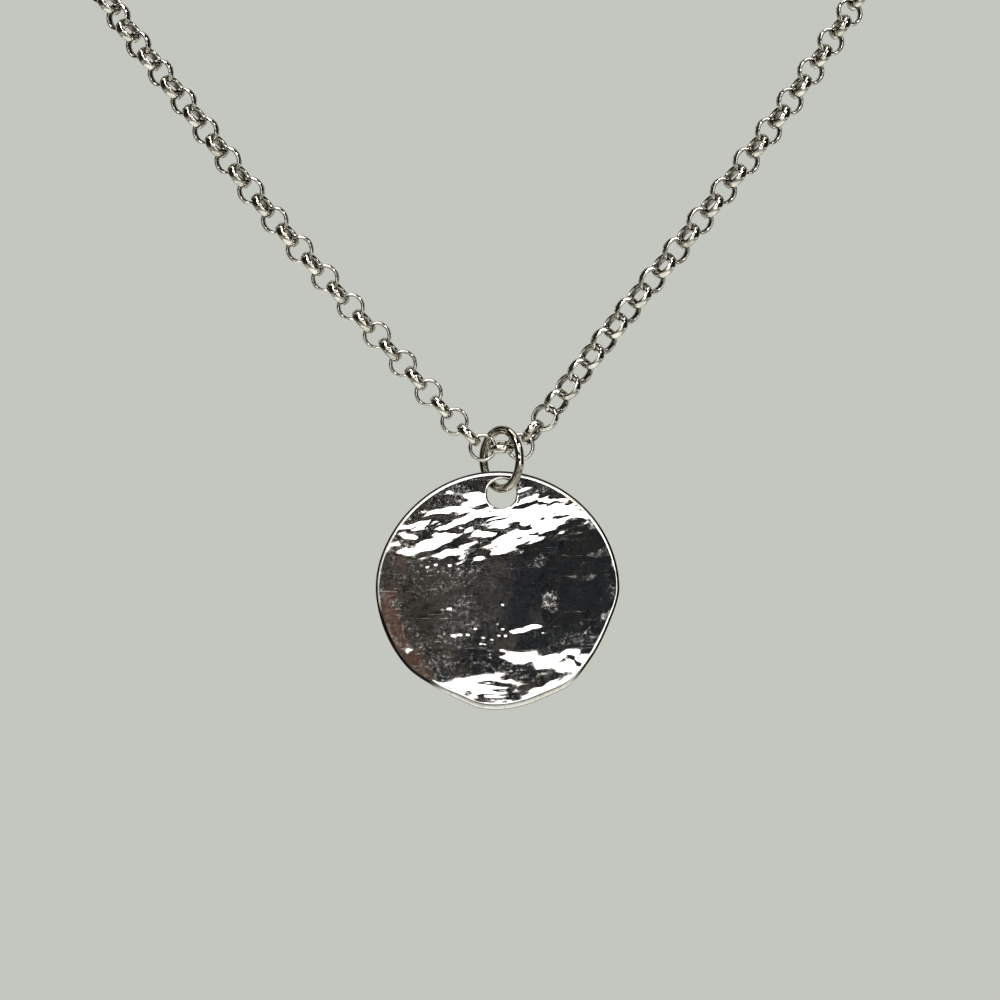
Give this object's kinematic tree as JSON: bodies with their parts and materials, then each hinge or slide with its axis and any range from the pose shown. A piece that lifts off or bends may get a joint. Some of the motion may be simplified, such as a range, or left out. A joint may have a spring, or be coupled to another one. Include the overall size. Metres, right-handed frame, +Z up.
{
  "type": "disc pendant necklace",
  "caption": "Round rippled metal disc on a jump ring, hung from a whole loop of rolo chain with a plain clasp at the nape.",
  "frame": {"origin": "the nape of the neck, at the middle of the clasp's round body, where the loop hangs", "axes": "+X to the viewer's right as the pendant is seen from the front, -Y to the front, +Z up"},
  "size_m": [0.1178, 0.1164, 0.1422],
  "materials": {
    "disc_metal": "mirror polish over a rippled cast face",
    "ring_metal": "polished drawn wire with light wear",
    "chain_metal": "polished links, darker inside",
    "clasp_metal": "polished, with light wear"
  },
  "bodies": {
    "chain": {"chain_left": "chain_metal", "chain_right": "chain_metal", "clasp": "clasp_metal"},
    "ring": {"jump_ring": "ring_metal"},
    "pendant": {"disc": "disc_metal"}
  },
  "joints": [
    {"name": "ring_swing", "type": "hinge", "parent": "chain", "child": "ring", "pos_m": [0, -0.112, -0.11065], "axis": [1, 0, 0], "range_deg": [-12, 12]},
    {"name": "disc_swing", "type": "hinge", "parent": "ring", "child": "pendant", "pos_m": [0, -0.112, -0.1163], "axis": [1, 0, 0], "range_deg": [-15, 15]}
  ]
}
